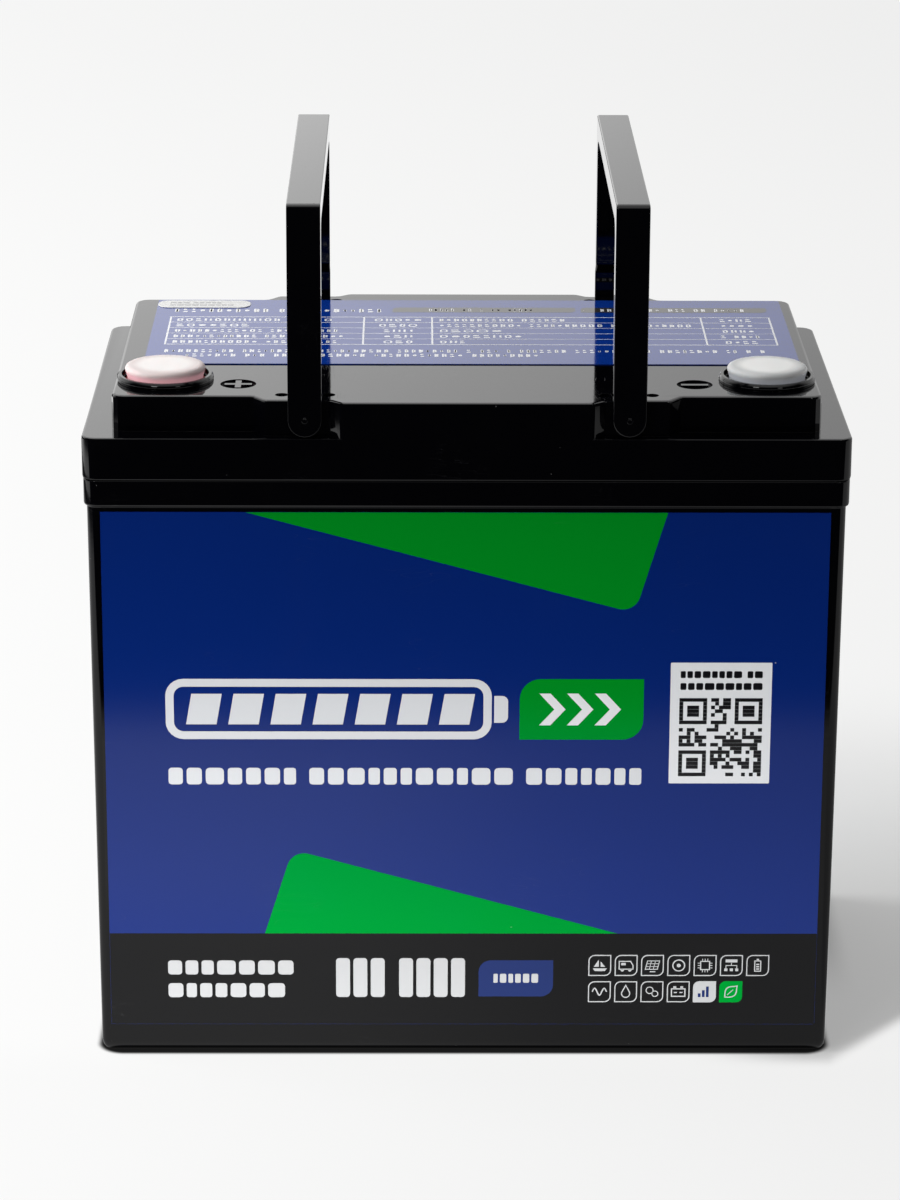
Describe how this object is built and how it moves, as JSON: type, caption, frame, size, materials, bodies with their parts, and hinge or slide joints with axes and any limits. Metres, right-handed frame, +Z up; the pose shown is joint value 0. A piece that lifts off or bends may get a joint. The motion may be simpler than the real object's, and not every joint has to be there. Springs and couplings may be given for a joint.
{
  "type": "deep cycle battery",
  "caption": "Sealed 12 V deep cycle battery: a black moulded case with a stepped lid, folding U-shaped carry handles, capped screw terminals and a cell pack with a management board inside.",
  "frame": {"origin": "centre of the footprint, on the face the battery stands on", "axes": "+Z up, +X to the right and +Y away from a viewer in front of the labelled face, so the front looks along -Y; the positive terminal is at -X"},
  "size_m": [0.229, 0.138, 0.2689],
  "materials": {
    "case_plastic": "glossy black moulded plastic",
    "lid_plastic": "very glossy black moulded plastic",
    "handle_plastic": "glossy black moulded plastic",
    "glue": "cured grey adhesive",
    "terminal_brass": "machined, satin",
    "positive_ring": "red seal ring",
    "negative_ring": "dark seal ring",
    "cap_plastic": "milky translucent plastic",
    "label_film": "laminated printed film, blue",
    "sticker_paper": "white coated paper",
    "cell_wrap": "blue shrink film",
    "cell_aluminium": "satin",
    "fibre_board": "yellow-green glass fibre board",
    "busbar_copper": "bright copper",
    "foam": "dark closed-cell foam",
    "strap_band": "woven polyester band",
    "heatsink_aluminium": "milled",
    "circuit_board": "green solder mask",
    "connector_plastic": "natural white nylon",
    "screw_steel": "zinc plated",
    "lug_tin": "tin plated copper",
    "cable_red": "red silicone sheath",
    "cable_black": "black silicone sheath",
    "wire_white": "white insulated wires"
  },
  "bodies": {
    "battery": {"case": "case_plastic", "lid": "lid_plastic", "lid_adhesive_bead": "glue", "positive_terminal_insert": "terminal_brass", "negative_terminal_insert": "terminal_brass", "positive_terminal_seal": "positive_ring", "negative_terminal_seal": "negative_ring", "front_label": "label_film", "rear_label": "label_film", "top_label": "label_film", "serial_sticker": "sticker_paper", "cell_1_can": "cell_wrap", "cell_2_can": "cell_wrap", "cell_3_can": "cell_wrap", "cell_4_can": "cell_wrap", "cell_1_cover_plate": "cell_aluminium", "cell_2_cover_plate": "cell_aluminium", "cell_3_cover_plate": "cell_aluminium", "cell_4_cover_plate": "cell_aluminium", "cell_spacer_1": "fibre_board", "cell_spacer_2": "fibre_board", "cell_spacer_3": "fibre_board", "rear_insulation_board": "fibre_board", "front_insulation_board": "fibre_board", "bms_tray": "fibre_board", "busbar_1_2": "busbar_copper", "busbar_2_3": "busbar_copper", "busbar_3_4": "busbar_copper", "busbar_positive": "busbar_copper", "busbar_negative": "busbar_copper", "end_foam_left": "foam", "end_foam_right": "foam", "bottom_foam_pad": "foam", "strap_front": "strap_band", "strap_rear": "strap_band", "bms_heatsink": "heatsink_aluminium", "bms_circuit_board": "circuit_board", "wireless_module": "circuit_board", "balance_plug": "connector_plastic", "bms_screw_1": "screw_steel", "bms_screw_2": "screw_steel", "bms_screw_3": "screw_steel", "bms_screw_4": "screw_steel", "positive_lug_screw": "screw_steel", "negative_lug_screw": "screw_steel", "positive_terminal_lug": "lug_tin", "negative_terminal_lug": "lug_tin", "positive_busbar_lug": "lug_tin", "negative_busbar_lug": "lug_tin", "positive_cable": "cable_red", "cell_negative_cable": "cable_black", "pack_negative_cable": "cable_black", "temperature_probe": "cable_black", "balance_harness": "wire_white"},
    "handle_left": {"handle_left": "handle_plastic"},
    "handle_right": {"handle_right": "handle_plastic"},
    "positive_cap": {"positive_terminal_cap": "cap_plastic"},
    "negative_cap": {"negative_terminal_cap": "cap_plastic"}
  },
  "joints": [
    {"name": "handle_left_hinge", "type": "hinge", "parent": "battery", "child": "handle_left", "pos_m": [-0.0481, 0, 0.2038], "axis": [0, -1, 0], "range_deg": [-18, 90]},
    {"name": "handle_right_hinge", "type": "hinge", "parent": "battery", "child": "handle_right", "pos_m": [0.0481, 0, 0.2038], "axis": [0, 1, 0], "range_deg": [-18, 90]},
    {"name": "positive_cap_lift", "type": "slide", "parent": "battery", "child": "positive_cap", "axis": [0, 0, 1], "range_m": [0, 0.022]},
    {"name": "negative_cap_lift", "type": "slide", "parent": "battery", "child": "negative_cap", "axis": [0, 0, 1], "range_m": [0, 0.022]}
  ]
}
